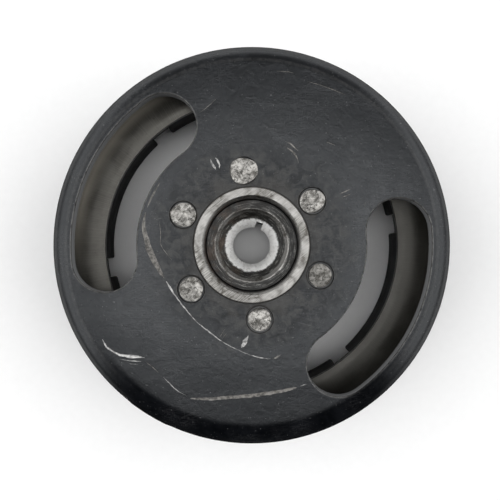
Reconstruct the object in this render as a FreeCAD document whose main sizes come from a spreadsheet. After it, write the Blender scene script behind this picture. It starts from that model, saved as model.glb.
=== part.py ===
import FreeCAD, Part
import math
import os
import Sketcher

# Outer-rotor magneto flywheel of a small single-cylinder engine, in millimetres.
#
# It stands on its open rim: Z is the crank's axis, Z = 0 is the open rim and the closed face looks up.
# A steel cup is riveted to a steel hub. Inside the cup's wall, from the closed end down, lie a bare
# steel spacer ring, a moulded cage and six ferrite arc magnets. The crank's taper enters the hub from
# the closed side, and the nut and the puller are reached through the open side.

SIZES = (
    # The cup
    ("shell_radius", 56.0, "outside radius of the cup"),
    ("shell_height", 40.0, "open rim to closed face"),
    ("shell_wall", 5.0, "thickness of the cup's wall"),
    ("plate_thickness", 5.0, "thickness of the closed face"),
    ("shell_corner", 4.5, "rounding between the wall and the closed face"),
    # The two kidney slots in the closed face
    ("slot_to_wall", 0.85, "outer edge of a slot to the inside of the wall"),
    ("slot_to_flange", 5.1, "inner edge of a slot to the hub's flange"),
    ("slot_half_angle", 29.6, "slot centre to the centre of its round end, in degrees"),
    ("slot_direction", 156.0, "direction of the first slot, in degrees"),
    # The trigger pad that the ignition pickup reads
    ("pad_rise", 2.2, "height of the pad above the wall"),
    ("pad_half_angle", 7.5, "half of the pad's length, in degrees"),
    ("pad_bottom", 9.0, "open rim to the pad"),
    ("pad_length", 18.0, "length of the pad along the axis"),
    ("pad_direction", 238.5, "direction of the pad, in degrees"),
    # The hub's bore, from the narrow parts outwards
    ("taper_radius", 7.73, "radius of the taper's wide end"),
    ("taper_length", 21.0, "length of the taper"),
    ("taper_slope", 0.1, "loss of radius for each millimetre of length, which is a 1 in 5 taper"),
    ("keyway_width", 2.0, "width of the keyway"),
    ("keyway_depth", 1.47, "depth of the keyway at the taper's narrow end"),
    ("keyway_direction", 70.2, "direction of the keyway, in degrees"),
    ("lead_in_width", 1.67, "width of the lead-in cone above the taper"),
    ("lead_in_depth", 1.0, "depth of the lead-in cone"),
    ("step_draft", 0.8, "how far the step above the lead-in leans out"),
    ("step_depth", 1.0, "height of that step"),
    ("recess_floor_width", 2.8, "width of the recess's flat floor"),
    ("recess_depth", 6.0, "top of the raised ring to the recess's floor"),
    ("recess_chamfer", 0.7, "chamfer at the recess's mouth"),
    ("ring_wall", 3.0, "thickness of the raised ring round the recess"),
    ("ring_rise", 2.5, "height of the raised ring above the closed face"),
    # The hub's flange and the boss that holds nut and puller
    ("flange_thickness", 5.0, "thickness of the riveted flange"),
    ("flange_edge", 6.2, "rivets' centres to the flange's edge"),
    ("thread_minor_radius", 12.96, "crest of the M27 x 1 puller thread"),
    ("boss_wall", 2.84, "thickness of the boss round the puller thread"),
    ("boss_setback", 2.5, "open rim to the end of the boss"),
    ("boss_chamfer", 0.8, "chamfers at the end of the boss"),
    # The rivets
    ("rivet_direction", 36.1, "direction of the first rivet, in degrees"),
    ("rivet_radius", 3.0, "radius of a rivet's shank"),
    ("upset_flare", 0.5, "how far the hammered end spreads past the shank"),
    ("upset_rise", 0.45, "height of the hammered end above the closed face"),
    ("countersink_rim", 0.55, "hammered end to the edge of its countersink"),
    ("countersink_depth", 1.1, "depth of that countersink"),
    ("countersink_to_ring", 0.75, "least gap from a countersink to the raised ring"),
    ("rivet_head_rim", 1.5, "how far the factory head spreads past the shank"),
    ("rivet_head_height", 2.8, "height of the factory head"),
    ("head_to_boss", 0.5, "least gap from a factory head to the boss"),
    # The spacer ring
    ("spacer_width", 8.29, "width of the spacer ring"),
    ("spacer_lip", 0.6, "width of the flat lip at its inner edge"),
    ("spacer_lip_height", 1.95, "thickness of the ring under the lip"),
    ("spacer_land", 0.7, "width of the ring where it meets the closed face"),
    # The magnets and their cage
    ("magnet_thickness", 6.65, "thickness of a magnet"),
    ("magnet_spacing", 7.5, "gap between two magnets, in degrees"),
    ("magnet_direction", 38.8, "direction of the first magnet, in degrees"),
    ("magnet_setback", 2.0, "open rim to the magnets"),
    ("cage_thickness", 1.2, "thickness of the cage between the spacer ring and the magnets"),
    ("rib_depth", 3.95, "how far the ribs between the magnets stand in from the wall"),
    # Clearances
    ("bond_gap", 0.05, "adhesive between the wall and what is bonded to it"),
    ("spigot_gap", 0.05, "between the raised ring and its hole in the closed face"),
    ("shank_gap", 0.05, "between a rivet's shank and its holes"),
    ("rib_gap", 0.1, "between a rib and a magnet, in degrees"),
)

MAGNETS = 6
RIVETS = 6
SLOTS = 2

DOCUMENT = FreeCAD.newDocument("flywheel")


def make_sheet():
    """The driving dimensions, one row each: name, value and what it measures."""
    sheet = DOCUMENT.addObject("Spreadsheet::Sheet", "Sizes")
    for row, (alias, value, note) in enumerate(SIZES, start=1):
        sheet.set(f"A{row}", alias)
        sheet.set(f"B{row}", str(value))
        sheet.set(f"C{row}", note)
        sheet.setAlias(f"B{row}", alias)
    DOCUMENT.recompute()
    return sheet


SHEET = make_sheet()

# Heights, radii and angles that more than one piece needs, as expressions over the sheet.
WALL_RADIUS = "(Sizes.shell_radius - Sizes.shell_wall)"
BOND_RADIUS = f"({WALL_RADIUS} - Sizes.bond_gap)"
PLATE_UNDERSIDE = "(Sizes.shell_height - Sizes.plate_thickness)"
RING_TOP = "(Sizes.shell_height + Sizes.ring_rise)"
FLANGE_UNDERSIDE = f"({PLATE_UNDERSIDE} - Sizes.flange_thickness)"
TAPER_TOP = f"({RING_TOP} - Sizes.recess_depth - Sizes.step_depth - Sizes.lead_in_depth)"
NUT_SEAT = f"({TAPER_TOP} - Sizes.taper_length)"
STEP_FOOT_RADIUS = "(Sizes.taper_radius + Sizes.lead_in_width)"
RECESS_RADIUS = f"({STEP_FOOT_RADIUS} + Sizes.step_draft + Sizes.recess_floor_width)"
RING_RADIUS = f"({RECESS_RADIUS} + Sizes.ring_wall)"
BOSS_RADIUS = "(Sizes.thread_minor_radius + Sizes.boss_wall)"
SHANK_HOLE = "(Sizes.rivet_radius + Sizes.shank_gap)"
UPSET_RADIUS = "(Sizes.rivet_radius + Sizes.upset_flare)"
COUNTERSINK_RADIUS = f"({UPSET_RADIUS} + Sizes.countersink_rim)"
RIVET_HEAD_RADIUS = "(Sizes.rivet_radius + Sizes.rivet_head_rim)"
RIVET_CIRCLE = (
    f"max({RING_RADIUS} + Sizes.countersink_to_ring + {COUNTERSINK_RADIUS}; "
    f"{BOSS_RADIUS} + Sizes.head_to_boss + {RIVET_HEAD_RADIUS})"
)
FLANGE_RADIUS = f"({RIVET_CIRCLE} + Sizes.flange_edge)"
SLOT_INNER = f"({FLANGE_RADIUS} + Sizes.slot_to_flange)"
SLOT_OUTER = f"({WALL_RADIUS} - Sizes.slot_to_wall)"
SLOT_MIDDLE = f"(({SLOT_INNER} + {SLOT_OUTER}) / 2)"
SPACER_INNER = f"({BOND_RADIUS} - Sizes.spacer_width)"
SPACER_DISH = "(Sizes.spacer_width - Sizes.spacer_land - Sizes.spacer_lip)"
SPACER_UNDERSIDE = f"({PLATE_UNDERSIDE} - {SPACER_DISH} - Sizes.spacer_lip_height)"
MAGNET_INNER = f"({BOND_RADIUS} - Sizes.magnet_thickness)"
MAGNET_TOP = f"({SPACER_UNDERSIDE} - Sizes.cage_thickness)"
MAGNET_HALF_ANGLE = f"(180 / {MAGNETS} - Sizes.magnet_spacing / 2)"

STRAIGHT = None


def number(expression):
    """What an expression over the sheet comes to."""
    return float(SHEET.evalExpression(str(expression)))


def arc(radius, turn):
    """A round side of an outline: its radius, and 1 where it turns left or -1 where it turns right."""
    return (radius, turn)


def origin_plane(body, role):
    """One of the body's own origin planes."""
    return next(plane for plane in body.Origin.OriginFeatures if plane.Role == role)


def new_sketch(body, name, role, height="0", turn="0"):
    """A sketch on an origin plane, lifted by height and turned by turn degrees about the plane's normal."""
    sketch = body.newObject("Sketcher::SketchObject", name)
    sketch.AttachmentSupport = [(origin_plane(body, role), "")]
    sketch.MapMode = "FlatFace"
    lift = FreeCAD.Vector(0, 0, number(height))
    normal = FreeCAD.Vector(0, 0, 1)
    sketch.AttachmentOffset = FreeCAD.Placement(lift, FreeCAD.Rotation(normal, number(turn)))
    if height != "0":
        sketch.setExpression("AttachmentOffset.Base.z", height)
    if turn != "0":
        sketch.setExpression("AttachmentOffset.Rotation.Angle", turn)
    return sketch


def hold(sketch, kind, where, expression):
    """Ties one size of a sketch to an expression; a point that lies on an axis is put on that axis."""
    value = number(expression)
    if value == 0 and kind in ("DistanceX", "DistanceY"):
        axis = -2 if kind == "DistanceX" else -1
        sketch.addConstraint(Sketcher.Constraint("PointOnObject", *where, axis))
        return
    index = sketch.addConstraint(Sketcher.Constraint(kind, *where, value))
    sketch.setExpression(f"Constraints[{index}]", str(expression))


def side_geometry(start, end, side):
    """The line or arc from start to end, and which of its two ends lies at start and at end."""
    if side is STRAIGHT:
        return Part.LineSegment(start, end), 1, 2
    radius, turn = number(side[0]), side[1]
    chord = end - start
    height = math.sqrt(max(radius**2 - (chord.Length / 2) ** 2, 0))
    left = FreeCAD.Vector(-chord.y, chord.x, 0).normalize()
    centre = (start + end) / 2 + left * height * turn
    circle = Part.Circle(centre, FreeCAD.Vector(0, 0, 1), radius)
    first, last = (start, end) if turn > 0 else (end, start)
    angles = [math.atan2(point.y - centre.y, point.x - centre.x) for point in (first, last)]
    curve = Part.ArcOfCircle(circle, angles[0], angles[1])
    return curve, (1 if turn > 0 else 2), (2 if turn > 0 else 1)


def draw_outline(sketch, corners):
    """A closed outline. Each corner gives its two coordinates and the side that leaves it."""
    points = [FreeCAD.Vector(number(across), number(up), 0) for across, up, _ in corners]
    ends = []
    for index, (_, _, side) in enumerate(corners):
        following = points[(index + 1) % len(points)]
        curve, start_end, far_end = side_geometry(points[index], following, side)
        ends.append((sketch.addGeometry(curve), start_end, far_end))
    for index, (across, up, side) in enumerate(corners):
        curve, start_end, _ = ends[index]
        before, _, before_end = ends[index - 1]
        sketch.addConstraint(Sketcher.Constraint("Coincident", before, before_end, curve, start_end))
        hold(sketch, "DistanceX", (curve, start_end), across)
        hold(sketch, "DistanceY", (curve, start_end), up)
        if side is not STRAIGHT:
            hold(sketch, "Radius", (curve,), side[0])
    return sketch


def draw_circle(sketch, across, up, radius):
    """A circle by its centre and radius."""
    centre = FreeCAD.Vector(number(across), number(up), 0)
    circle = sketch.addGeometry(Part.Circle(centre, FreeCAD.Vector(0, 0, 1), number(radius)))
    hold(sketch, "DistanceX", (circle, 3), across)
    hold(sketch, "DistanceY", (circle, 3), up)
    hold(sketch, "Radius", (circle,), radius)
    return sketch


def draw_sector(sketch, inner, outer, half_angle):
    """A piece of a flat ring, centred on the sketch's own X axis."""
    corners = (
        (f"{inner} * cos({half_angle})", f"-{inner} * sin({half_angle})", STRAIGHT),
        (f"{outer} * cos({half_angle})", f"-{outer} * sin({half_angle})", arc(outer, 1)),
        (f"{outer} * cos({half_angle})", f"{outer} * sin({half_angle})", STRAIGHT),
        (f"{inner} * cos({half_angle})", f"{inner} * sin({half_angle})", arc(inner, -1)),
    )
    return draw_outline(sketch, corners)


def draw_kidney(sketch):
    """A curved slot with round ends, centred on the sketch's own X axis."""
    middle = number(SLOT_MIDDLE)
    end_radius = (number(SLOT_OUTER) - number(SLOT_INNER)) / 2
    spread = math.radians(number("Sizes.slot_half_angle"))
    normal = FreeCAD.Vector(0, 0, 1)
    centre = FreeCAD.Vector(0, 0, 0)

    def long_side(radius):
        circle = Part.Circle(centre, normal, number(radius))
        index = sketch.addGeometry(Part.ArcOfCircle(circle, -spread, spread))
        sketch.addConstraint(Sketcher.Constraint("Coincident", index, 3, -1, 1))
        hold(sketch, "Radius", (index,), radius)
        return index

    def round_end(way):
        place = FreeCAD.Vector(middle * math.cos(spread), way * middle * math.sin(spread), 0)
        start = spread if way > 0 else math.pi - spread
        circle = Part.Circle(place, normal, end_radius)
        return sketch.addGeometry(Part.ArcOfCircle(circle, start, start + math.pi))

    outer = long_side(SLOT_OUTER)
    inner = long_side(SLOT_INNER)
    upper = round_end(1)
    lower = round_end(-1)
    for first, first_end, second, second_end in (
        (outer, 2, upper, 1),
        (upper, 2, inner, 2),
        (inner, 1, lower, 1),
        (lower, 2, outer, 1),
    ):
        sketch.addConstraint(Sketcher.Constraint("Tangent", first, first_end, second, second_end))
    hold(sketch, "DistanceY", (upper, 3), f"{SLOT_MIDDLE} * sin(Sizes.slot_half_angle)")
    hold(sketch, "DistanceY", (lower, 3), f"-{SLOT_MIDDLE} * sin(Sizes.slot_half_angle)")
    return sketch


def new_body(name):
    """An empty sub-part under its own name."""
    body = DOCUMENT.addObject("PartDesign::Body", name)
    body.Label = name
    return body


def revolve(body, name, corners):
    """A full turn of an outline about the crank's axis, or about the piece's own Z axis."""
    sketch = draw_outline(new_sketch(body, f"{name}_outline", "XZ_Plane"), corners)
    turned = body.newObject("PartDesign::Revolution", name)
    turned.Profile = sketch
    turned.ReferenceAxis = (sketch, ["V_Axis"])
    turned.Angle = 360
    return turned


def extrude(body, name, sketch, length):
    """A pad of the sketch, upwards."""
    pad = body.newObject("PartDesign::Pad", name)
    pad.Profile = sketch
    pad.setExpression("Length", length)
    return pad


def cut_through(body, name, sketch):
    """Cuts the sketch upwards through the whole piece."""
    DOCUMENT.recompute()
    before = body.Shape.Volume
    pocket = body.newObject("PartDesign::Pocket", name)
    pocket.Profile = sketch
    pocket.Type = "ThroughAll"
    pocket.Reversed = True
    DOCUMENT.recompute()
    if not body.Shape.Volume < before:
        raise RuntimeError(f"{body.Label}: {name} cuts nothing")
    return pocket


def repeat_round(body, name, feature, count):
    """Repeats a feature evenly round the crank's axis."""
    pattern = body.newObject("PartDesign::PolarPattern", name)
    pattern.Originals = [feature]
    pattern.Axis = (feature.Profile[0], ["N_Axis"])
    pattern.Angle = 360
    pattern.Occurrences = count
    body.Tip = pattern
    DOCUMENT.recompute()
    return pattern


def on_pitch_circle(axis_function):
    """A coordinate of the first rivet's centre."""
    return f"{RIVET_CIRCLE} * {axis_function}(Sizes.rivet_direction)"


def make_rotor_shell():
    """The steel cup: wall and closed face, slots, rivet holes and trigger pad."""
    body = new_body("rotor_shell")
    spigot_hole = f"({RING_RADIUS} + Sizes.spigot_gap)"
    revolve(
        body,
        "cup",
        (
            (WALL_RADIUS, "0", STRAIGHT),
            ("Sizes.shell_radius", "0", STRAIGHT),
            ("Sizes.shell_radius", "Sizes.shell_height - Sizes.shell_corner", arc("Sizes.shell_corner", 1)),
            ("Sizes.shell_radius - Sizes.shell_corner", "Sizes.shell_height", STRAIGHT),
            (spigot_hole, "Sizes.shell_height", STRAIGHT),
            (spigot_hole, PLATE_UNDERSIDE, STRAIGHT),
            (WALL_RADIUS, PLATE_UNDERSIDE, STRAIGHT),
        ),
    )
    pad_sketch = new_sketch(body, "pad_outline", "XY_Plane", "Sizes.pad_bottom", "Sizes.pad_direction")
    wall_middle = "(Sizes.shell_radius - Sizes.shell_wall / 2)"
    draw_sector(pad_sketch, wall_middle, "(Sizes.shell_radius + Sizes.pad_rise)", "Sizes.pad_half_angle")
    extrude(body, "trigger_pad", pad_sketch, "Sizes.pad_length")

    slot_sketch = draw_kidney(new_sketch(body, "slot_outline", "XY_Plane", "0", "Sizes.slot_direction"))
    slot = cut_through(body, "slot", slot_sketch)
    repeat_round(body, "slots", slot, SLOTS)

    hole_sketch = new_sketch(body, "rivet_place", "XY_Plane", "Sizes.shell_height")
    draw_circle(hole_sketch, on_pitch_circle("cos"), on_pitch_circle("sin"), SHANK_HOLE)
    hole = body.newObject("PartDesign::Hole", "rivet_hole")
    hole.Profile = hole_sketch
    DOCUMENT.recompute()
    hole.DepthType = "ThroughAll"
    hole.HoleCutType = "Countersink"
    hole.HoleCutCustomValues = True
    hole.setExpression("Diameter", f"2 * {SHANK_HOLE}")
    hole.setExpression("HoleCutDiameter", f"2 * {COUNTERSINK_RADIUS}")
    flare = f"({COUNTERSINK_RADIUS} - {SHANK_HOLE}) / Sizes.countersink_depth"
    hole.setExpression("HoleCutCountersinkAngle", f"2 * atan({flare})")
    repeat_round(body, "rivet_holes", hole, RIVETS)
    return body


def make_hub():
    """The turned hub: raised ring, recess, taper with keyway, flange, and boss for nut and puller."""
    body = new_body("hub")
    recess_floor = f"{RING_TOP} - Sizes.recess_depth"
    taper_foot = "(Sizes.taper_radius - Sizes.taper_length * Sizes.taper_slope)"
    revolve(
        body,
        "turned_hub",
        (
            (f"{RECESS_RADIUS} + Sizes.recess_chamfer", RING_TOP, STRAIGHT),
            (RECESS_RADIUS, f"{RING_TOP} - Sizes.recess_chamfer", STRAIGHT),
            (RECESS_RADIUS, recess_floor, STRAIGHT),
            (f"{STEP_FOOT_RADIUS} + Sizes.step_draft", recess_floor, STRAIGHT),
            (STEP_FOOT_RADIUS, f"{recess_floor} - Sizes.step_depth", STRAIGHT),
            ("Sizes.taper_radius", TAPER_TOP, STRAIGHT),
            (taper_foot, NUT_SEAT, STRAIGHT),
            ("Sizes.thread_minor_radius", NUT_SEAT, STRAIGHT),
            ("Sizes.thread_minor_radius", "Sizes.boss_setback + Sizes.boss_chamfer", STRAIGHT),
            ("Sizes.thread_minor_radius + Sizes.boss_chamfer", "Sizes.boss_setback", STRAIGHT),
            (f"{BOSS_RADIUS} - Sizes.boss_chamfer", "Sizes.boss_setback", STRAIGHT),
            (BOSS_RADIUS, "Sizes.boss_setback + Sizes.boss_chamfer", STRAIGHT),
            (BOSS_RADIUS, FLANGE_UNDERSIDE, STRAIGHT),
            (FLANGE_RADIUS, FLANGE_UNDERSIDE, STRAIGHT),
            (FLANGE_RADIUS, PLATE_UNDERSIDE, STRAIGHT),
            (RING_RADIUS, PLATE_UNDERSIDE, STRAIGHT),
            (RING_RADIUS, RING_TOP, STRAIGHT),
        ),
    )
    key_sketch = new_sketch(body, "keyway_outline", "XY_Plane", "0", "Sizes.keyway_direction")
    half_width = "Sizes.keyway_width / 2"
    keyway_wall = f"{taper_foot} + Sizes.keyway_depth"
    draw_outline(
        key_sketch,
        (
            ("0", f"-{half_width}", STRAIGHT),
            (keyway_wall, f"-{half_width}", STRAIGHT),
            (keyway_wall, half_width, STRAIGHT),
            ("0", half_width, STRAIGHT),
        ),
    )
    cut_through(body, "keyway", key_sketch)

    hole_sketch = new_sketch(body, "rivet_place", "XY_Plane")
    draw_circle(hole_sketch, on_pitch_circle("cos"), on_pitch_circle("sin"), SHANK_HOLE)
    hole = cut_through(body, "rivet_hole", hole_sketch)
    repeat_round(body, "rivet_holes", hole, RIVETS)
    return body


def make_rivet(index):
    """A rivet on its own axis: factory head under the flange, shank, and hammered end."""
    body = new_body(f"rivet_{index + 1}")
    upset_foot = "Sizes.shell_height - Sizes.countersink_depth"
    dome_radius = f"({UPSET_RADIUS} ^ 2 + Sizes.upset_rise ^ 2) / (2 * Sizes.upset_rise)"
    head_edge = "Sizes.rivet_head_height / 2"
    revolve(
        body,
        "rivet",
        (
            ("0", f"{FLANGE_UNDERSIDE} - Sizes.rivet_head_height", STRAIGHT),
            (f"{RIVET_HEAD_RADIUS} - {head_edge}", f"{FLANGE_UNDERSIDE} - Sizes.rivet_head_height",
             arc(head_edge, 1)),
            (RIVET_HEAD_RADIUS, f"{FLANGE_UNDERSIDE} - {head_edge}", STRAIGHT),
            (RIVET_HEAD_RADIUS, FLANGE_UNDERSIDE, STRAIGHT),
            ("Sizes.rivet_radius", FLANGE_UNDERSIDE, STRAIGHT),
            ("Sizes.rivet_radius", upset_foot, STRAIGHT),
            (UPSET_RADIUS, "Sizes.shell_height", arc(dome_radius, 1)),
            ("0", "Sizes.shell_height + Sizes.upset_rise", STRAIGHT),
        ),
    )
    place_on_circle(body, RIVET_CIRCLE, f"(Sizes.rivet_direction + {index} * 360 / {RIVETS})")
    return body


def place_on_circle(body, radius, direction):
    """Moves a piece out from the crank's axis and turns it with its direction."""
    normal = FreeCAD.Vector(0, 0, 1)
    body.Placement = FreeCAD.Placement(FreeCAD.Vector(), FreeCAD.Rotation(normal, number(direction)))
    body.setExpression("Placement.Base.x", f"{radius} * cos({direction})")
    body.setExpression("Placement.Base.y", f"{radius} * sin({direction})")
    body.setExpression("Placement.Rotation.Angle", direction)


def make_spacer_ring():
    """The bare steel ring that keeps the magnets off the closed face; its upper side is a round cove."""
    body = new_body("magnet_spacer_ring")
    lip_top = f"{PLATE_UNDERSIDE} - {SPACER_DISH}"
    revolve(
        body,
        "spacer",
        (
            (SPACER_INNER, SPACER_UNDERSIDE, STRAIGHT),
            (BOND_RADIUS, SPACER_UNDERSIDE, STRAIGHT),
            (BOND_RADIUS, PLATE_UNDERSIDE, STRAIGHT),
            (f"{BOND_RADIUS} - Sizes.spacer_land", PLATE_UNDERSIDE, arc(SPACER_DISH, -1)),
            (f"{SPACER_INNER} + Sizes.spacer_lip", lip_top, STRAIGHT),
            (SPACER_INNER, lip_top, STRAIGHT),
        ),
    )
    return body


def make_magnet_cage():
    """The moulded cage: a thin ring above the magnets and a rib in each gap between them."""
    body = new_body("magnet_cage")
    revolve(
        body,
        "cage_ring",
        (
            (MAGNET_INNER, MAGNET_TOP, STRAIGHT),
            (BOND_RADIUS, MAGNET_TOP, STRAIGHT),
            (BOND_RADIUS, SPACER_UNDERSIDE, STRAIGHT),
            (MAGNET_INNER, SPACER_UNDERSIDE, STRAIGHT),
        ),
    )
    between_magnets = f"(Sizes.magnet_direction + 180 / {MAGNETS})"
    rib_sketch = new_sketch(body, "rib_outline", "XY_Plane", "Sizes.magnet_setback", between_magnets)
    rib_inner = f"({BOND_RADIUS} - Sizes.rib_depth)"
    draw_sector(rib_sketch, rib_inner, BOND_RADIUS, "(Sizes.magnet_spacing / 2 - Sizes.rib_gap)")
    rib_length = f"{SPACER_UNDERSIDE} - Sizes.magnet_setback"
    rib = extrude(body, "rib", rib_sketch, rib_length)
    DOCUMENT.recompute()
    repeat_round(body, "ribs", rib, MAGNETS)
    return body


def make_magnet(index):
    """A ferrite arc magnet, bonded to the wall."""
    body = new_body(f"magnet_{index + 1}")
    sketch = new_sketch(body, "magnet_outline", "XY_Plane", "Sizes.magnet_setback")
    draw_sector(sketch, MAGNET_INNER, BOND_RADIUS, MAGNET_HALF_ANGLE)
    extrude(body, "magnet", sketch, f"{MAGNET_TOP} - Sizes.magnet_setback")
    place_on_circle(body, "0", f"(Sizes.magnet_direction + {index} * 360 / {MAGNETS})")
    return body


def check_document():
    """Stops at any object that failed to build, because a failed feature raises nothing by itself."""
    DOCUMENT.recompute()
    for item in DOCUMENT.Objects:
        if "Invalid" in item.State or "Error" in item.State:
            raise RuntimeError(f"{item.Label}: {item.State}")


def check_piece(body):
    """Stops unless the piece is one valid solid."""
    if body.Shape.isNull() or not body.Shape.isValid():
        raise RuntimeError(f"{body.Label}: no valid shape")
    if len(body.Shape.Solids) != 1:
        raise RuntimeError(f"{body.Label}: {len(body.Shape.Solids)} solids")


pieces = [make_rotor_shell(), make_hub()]
pieces += [make_rivet(index) for index in range(RIVETS)]
pieces += [make_spacer_ring(), make_magnet_cage()]
pieces += [make_magnet(index) for index in range(MAGNETS)]

check_document()
for piece in pieces:
    check_piece(piece)

os.makedirs("parts", exist_ok=True)
for piece in pieces:
    piece.Shape.exportStep(f"parts/{piece.Label}.step")
    box = piece.Shape.BoundBox
    print(f"{piece.Label}: volume {piece.Shape.Volume:.1f}, z {box.ZMin:.2f} to {box.ZMax:.2f}, "
          f"x {box.XMin:.2f} to {box.XMax:.2f}, y {box.YMin:.2f} to {box.YMax:.2f}")
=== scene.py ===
"""Magneto flywheel, lying on its open rim: every CAD solid gets a finished piece in its place, in metres."""

import math
import random

import bmesh
import bpy
from mathutils import Matrix, Vector, geometry, kdtree, noise


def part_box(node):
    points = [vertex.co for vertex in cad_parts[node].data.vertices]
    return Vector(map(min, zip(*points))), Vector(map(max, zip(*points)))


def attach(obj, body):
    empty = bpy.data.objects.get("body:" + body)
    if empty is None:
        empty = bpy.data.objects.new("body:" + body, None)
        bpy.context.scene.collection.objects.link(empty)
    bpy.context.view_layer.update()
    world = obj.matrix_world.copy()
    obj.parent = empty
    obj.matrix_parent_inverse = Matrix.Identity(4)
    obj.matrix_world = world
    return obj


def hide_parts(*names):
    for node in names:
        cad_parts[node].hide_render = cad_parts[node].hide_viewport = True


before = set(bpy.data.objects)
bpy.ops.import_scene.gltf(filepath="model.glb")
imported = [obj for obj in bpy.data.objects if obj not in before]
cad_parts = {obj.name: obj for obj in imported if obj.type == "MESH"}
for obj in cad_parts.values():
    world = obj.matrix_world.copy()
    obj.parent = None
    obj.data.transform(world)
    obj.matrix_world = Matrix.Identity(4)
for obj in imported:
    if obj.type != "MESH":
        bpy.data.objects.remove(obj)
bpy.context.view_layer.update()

# ---- Rotor shell -------------------------------------------------------------------------------------------
# The steel cup: a wall and a flat closed face in one piece, with two kidney slots, six countersunk rivet
# holes and a trigger pad on the wall. Its thin satin slate oxide is rubbed through to steel along its edges
# and scratched on the face by tools and bolts. A dark reflection is painted on the corner's -Y side, which
# is blacker and duller there, and painted light turns the walls of the slots and holes light grey.

MM = 0.001
SHELL_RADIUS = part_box("rotor_shell")[1].x / MM
FACE_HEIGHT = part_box("rotor_shell")[1].z / MM
PLATE_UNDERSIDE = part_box("magnet_spacer_ring")[1].z / MM
WALL_RADIUS = SHELL_RADIUS - 5.0
WALL_FOOT = 1.2
CORNER_WIDTH, CORNER_HEIGHT = 5.0, 4.5
CORNER_STEPS = 18
SHOULDER_WEAR, SHOULDER_TURN = 0.14, 0.25
SHELL_STEPS = 240
RIM_CHAMFER = 0.5
FLAT_MARGIN = 0.1
FACE_SPACING = 1.5
FACE_WAVE = 0.05
PAD_START, PAD_END = math.radians(231), math.radians(246)
PAD_BOTTOM, PAD_TOP = 9.0, 27.0
PAD_RISE = 2.2
PAD_EDGE = 0.4
SLOT_SPINE = 41.125
SLOT_HALF_WIDTH = 9.025
SLOT_HALF_ANGLE = math.radians(29.6)
SLOT_DIRECTIONS = (math.radians(156), math.radians(336))
SLOT_LONG_STEPS = 44
SLOT_END_STEPS = 22
SLOT_TOP_EDGE, SLOT_BOTTOM_EDGE = 0.45, 0.3
RIVET_NAMES = [f"rivet_{index}" for index in range(1, 7)]
COUNTERSINK_RADIUS, SHANK_HOLE_RADIUS = 3.9, 3.05
COUNTERSINK_DEPTH = 1.1
COUNTERSINK_STEPS = 72
HUB_HOLE_RADIUS = 16.05
HUB_HOLE_EDGE = 0.35
HUB_HOLE_STEPS = 192
SAME_PLACE = 1e-7
MERGE_REACH = 0.0005


def polar(radius, angle, height=0.0):
    """Gives the point at a radius and height in mm and an angle in radians, in metres."""
    return Vector((radius * math.cos(angle), radius * math.sin(angle), height)) * MM


def middle_of(node):
    """Gives the distance from the crank's axis, in mm, and the direction of a node's middle."""
    low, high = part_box(node)
    middle = (low + high) / 2
    return math.hypot(middle.x, middle.y) / MM, math.atan2(middle.y, middle.x)


def nearest_on_spine(point, spine_radius, direction, half_angle):
    """Gives the nearest point of a hole's spine, which is an arc about the crank's axis or one spot."""
    swing = (math.atan2(point.y, point.x) - direction + math.pi) % math.tau - math.pi
    return polar(spine_radius, direction + max(-half_angle, min(half_angle, swing)))


def run_wall(bm, spine, profile):
    """Carries the loose edge loop on through (distance from the spine, height, wear) steps, in mm."""
    wear_of = bm.verts.layers.float["edge_wear"]
    loop = [edge for edge in bm.edges if edge.is_wire]
    for vert in {vert for edge in loop for vert in edge.verts}:
        vert[wear_of] = 0.0
    for distance, height, wear in profile:
        made = bmesh.ops.extrude_edge_only(bm, edges=loop)["geom"]
        corners = {item for item in made if isinstance(item, bmesh.types.BMVert)}
        edges = [item for item in made if isinstance(item, bmesh.types.BMEdge)]
        loop = [edge for edge in edges if corners.issuperset(edge.verts)]
        for vert in corners:
            foot = nearest_on_spine(vert.co, *spine)
            outward = (vert.co - foot) * Vector((1, 1, 0))
            vert.co = foot + outward.normalized() * distance * MM
            vert.co.z = height * MM
            vert[wear_of] = wear


def rounded(distance, height, size, steps, rising=False):
    """Gives the steps of a rounded edge that turns from a flat face into a wall, or back when rising."""
    turns = [step / steps * math.pi / 2 for step in range(steps + 1)]
    edge = [
        (distance + size * (1 - math.sin(turn)), height - size * (1 - math.cos(turn)), math.sin(2 * turn))
        for turn in turns
    ]
    if rising:
        edge = [(across, 2 * height - level, wear) for across, level, wear in reversed(edge)]
    return edge


def slot_outline(bm, direction, half_width):
    """Draws a kidney's outline on the face by spinning one corner round its four arcs."""
    def turn(vert, centre, angle, steps):
        spun = bmesh.ops.spin(bm, geom=[vert], cent=centre, axis=(0, 0, 1), angle=angle, steps=steps)
        return next(item for item in spun["geom_last"] if isinstance(item, bmesh.types.BMVert))

    start = bm.verts.new(polar(SLOT_SPINE + half_width, direction - SLOT_HALF_ANGLE, FACE_HEIGHT))
    near_end = polar(SLOT_SPINE, direction - SLOT_HALF_ANGLE, FACE_HEIGHT)
    far_end = polar(SLOT_SPINE, direction + SLOT_HALF_ANGLE, FACE_HEIGHT)
    corner = turn(start, (0, 0, 0), 2 * SLOT_HALF_ANGLE, SLOT_LONG_STEPS)
    corner = turn(corner, far_end, math.pi, SLOT_END_STEPS)
    corner = turn(corner, (0, 0, 0), -2 * SLOT_HALF_ANGLE, SLOT_LONG_STEPS)
    corner = turn(corner, near_end, math.pi, SLOT_END_STEPS)
    bmesh.ops.remove_doubles(bm, verts=[start, corner], dist=0.01 * MM)


def circle_outline(bm, centre, radius, steps):
    """Draws a round outline on the face."""
    place = Matrix.Translation((centre.x, centre.y, FACE_HEIGHT * MM))
    bmesh.ops.create_circle(bm, segments=steps, radius=radius * MM, matrix=place)


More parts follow.
